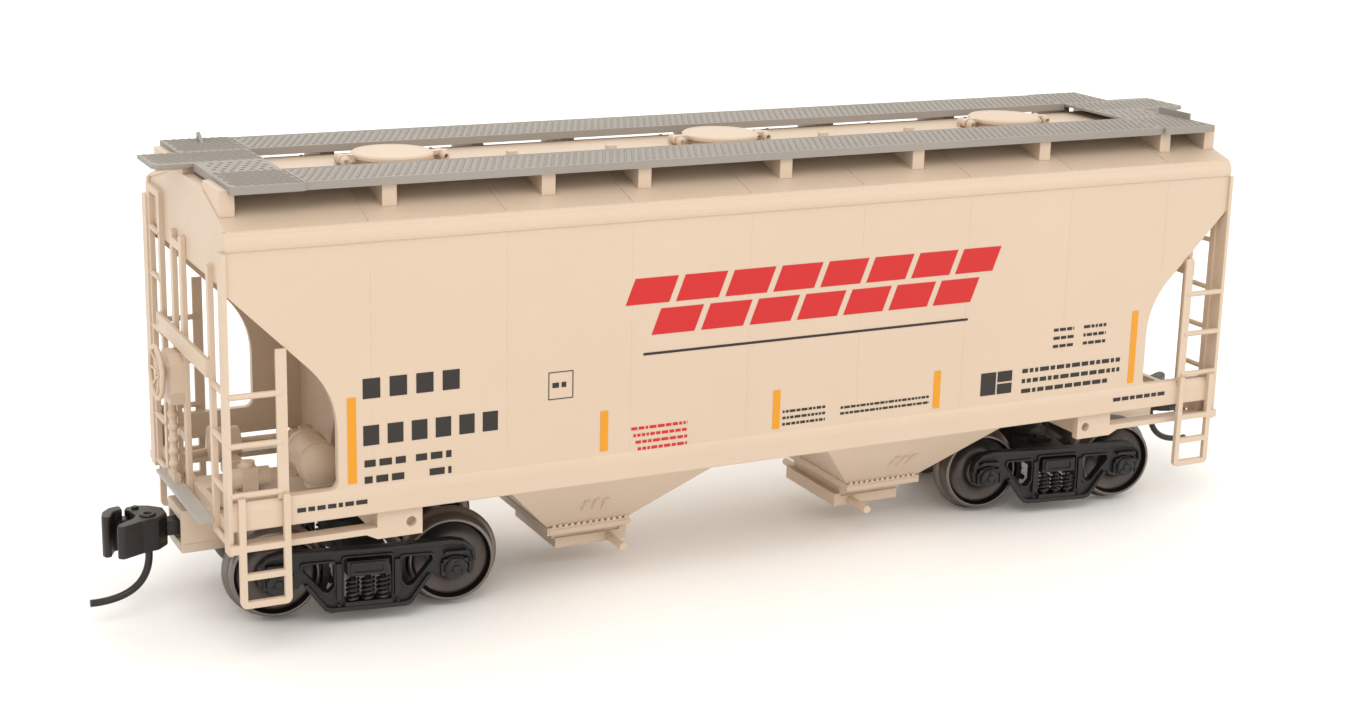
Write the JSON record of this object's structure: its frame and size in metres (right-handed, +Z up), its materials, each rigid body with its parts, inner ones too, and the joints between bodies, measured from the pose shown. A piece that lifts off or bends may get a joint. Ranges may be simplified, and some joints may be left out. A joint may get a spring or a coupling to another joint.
{
  "type": "model hopper car",
  "caption": "Model railway covered hopper car with hinged hatches, swivelling four-wheel trucks, spinning wheels and swinging knuckle couplers.",
  "frame": {"origin": "middle of the car at the level of the wheel flanges' lowest points", "axes": "+X towards the plain end of the car, +Y towards the far side, +Z up"},
  "size_m": [0.1596, 0.0374, 0.053],
  "materials": {
    "body": "satin cream paint on moulded plastic",
    "walkway": "warm grey moulded plastic",
    "step": "light grey moulded plastic",
    "truck": "satin black acetal",
    "spring": "satin black",
    "wheel": "blackened turned metal with bright treads",
    "axle": "turned metal",
    "coupler": "blackened die-cast metal",
    "screw": "plain steel",
    "ballast": "rolled steel plate",
    "bronze": "phosphor bronze strip"
  },
  "bodies": {
    "car_body": {"air_reservoir": "body", "brake_cylinder": "body", "brake_housing": "body", "brake_rods": "body", "brake_stand": "body", "brake_step": "step", "centring_springs": "bronze", "control_valve": "body", "coupler_box_a": "body", "coupler_box_b": "body", "coupler_box_covers": "body", "coupler_box_screws": "screw", "end_crossbars": "body", "end_frame_a": "body", "end_frame_b": "body", "end_ladders_a": "body", "end_ladders_b": "body", "gate_shafts": "body", "hatch_hinge_pins": "screw", "hopper_bay_a": "body", "hopper_bay_b": "body", "outlet_gate_a": "body", "outlet_gate_b": "body", "platform_brackets": "body", "roof": "body", "roof_platform_a": "walkway", "roof_platform_b": "walkway", "running_board_brackets": "body", "running_board_far": "walkway", "running_board_near": "walkway", "side_ladders_a": "body", "side_ladders_b": "body", "side_wall_far": "body", "side_wall_near": "body", "slope_sheet_a": "body", "slope_sheet_b": "body", "steel_weight": "ballast", "truck_screws": "screw"},
    "wheelset_inner_a": {"axle_inner_a": "axle", "wheels_inner_a": "wheel"},
    "wheelset_inner_b": {"axle_inner_b": "axle", "wheels_inner_b": "wheel"},
    "wheelset_outer_a": {"axle_outer_a": "axle", "wheels_outer_a": "wheel"},
    "wheelset_outer_b": {"axle_outer_b": "axle", "wheels_outer_b": "wheel"},
    "hand_wheel": {"brake_wheel": "body"},
    "coupler_a": {"coupler_head_a": "coupler", "trip_pin_a": "coupler"},
    "coupler_b": {"coupler_head_b": "coupler", "trip_pin_b": "coupler"},
    "hatch_1": {"hatch_cover_1": "body"},
    "hatch_2": {"hatch_cover_2": "body"},
    "hatch_3": {"hatch_cover_3": "body"},
    "knuckle_a": {"knuckle_a": "coupler"},
    "knuckle_b": {"knuckle_b": "coupler"},
    "truck_a": {"truck_frame_a": "truck", "truck_springs_a": "spring"},
    "truck_b": {"truck_frame_b": "truck", "truck_springs_b": "spring"}
  },
  "joints": [
    {"name": "truck_a_swivel", "type": "hinge", "parent": "car_body", "child": "truck_a", "pos_m": [0.0486, 0, 0.01], "axis": [0, 0, 1], "range_deg": [-3, 21]},
    {"name": "wheels_outer_a_spin", "type": "hinge", "parent": "truck_a", "child": "wheelset_outer_a", "pos_m": [0.05867, -0.0016, 0.0059], "axis": [0.1564, 0.9877, 0], "continuous": true},
    {"name": "wheels_inner_a_spin", "type": "hinge", "parent": "truck_a", "child": "wheelset_inner_a", "pos_m": [0.03853, 0.0016, 0.0059], "axis": [0.1564, 0.9877, 0], "continuous": true},
    {"name": "coupler_a_swing", "type": "hinge", "parent": "car_body", "child": "coupler_a", "pos_m": [0.0643, 0, 0.0106], "axis": [0, 0, 1], "range_deg": [-10, 10], "stiffness_Nm_per_rad": 0.0002},
    {"name": "knuckle_a_open", "type": "hinge", "parent": "coupler_a", "child": "knuckle_a", "pos_m": [0.0737, -0.00175, 0.0106], "axis": [0, 0, 1], "range_deg": [-30, 0], "stiffness_Nm_per_rad": 0.0001},
    {"name": "truck_b_swivel", "type": "hinge", "parent": "car_body", "child": "truck_b", "pos_m": [-0.0486, 0, 0.01], "axis": [0, 0, 1], "range_deg": [-3, 21]},
    {"name": "wheels_outer_b_spin", "type": "hinge", "parent": "truck_b", "child": "wheelset_outer_b", "pos_m": [-0.05867, 0.0016, 0.0059], "axis": [0.1564, 0.9877, 0], "continuous": true},
    {"name": "wheels_inner_b_spin", "type": "hinge", "parent": "truck_b", "child": "wheelset_inner_b", "pos_m": [-0.03853, -0.0016, 0.0059], "axis": [0.1564, 0.9877, 0], "continuous": true},
    {"name": "coupler_b_swing", "type": "hinge", "parent": "car_body", "child": "coupler_b", "pos_m": [-0.0643, 0, 0.0106], "axis": [0, 0, 1], "range_deg": [-10, 10], "stiffness_Nm_per_rad": 0.0002},
    {"name": "knuckle_b_open", "type": "hinge", "parent": "coupler_b", "child": "knuckle_b", "pos_m": [-0.0737, 0.00175, 0.0106], "axis": [0, 0, 1], "range_deg": [-30, 0], "stiffness_Nm_per_rad": 0.0001},
    {"name": "hatch_1_lift", "type": "hinge", "parent": "car_body", "child": "hatch_1", "pos_m": [-0.04905, 0, 0.05215], "axis": [0, -1, 0], "range_deg": [0, 100]},
    {"name": "hatch_2_lift", "type": "hinge", "parent": "car_body", "child": "hatch_2", "pos_m": [-0.00605, 0, 0.05215], "axis": [0, -1, 0], "range_deg": [0, 100]},
    {"name": "hatch_3_lift", "type": "hinge", "parent": "car_body", "child": "hatch_3", "pos_m": [0.03695, 0, 0.05215], "axis": [0, -1, 0], "range_deg": [0, 100]},
    {"name": "hand_wheel_turn", "type": "hinge", "parent": "car_body", "child": "hand_wheel", "pos_m": [-0.0704, 0.003, 0.0282], "axis": [1, 0, 0], "continuous": true}
  ]
}
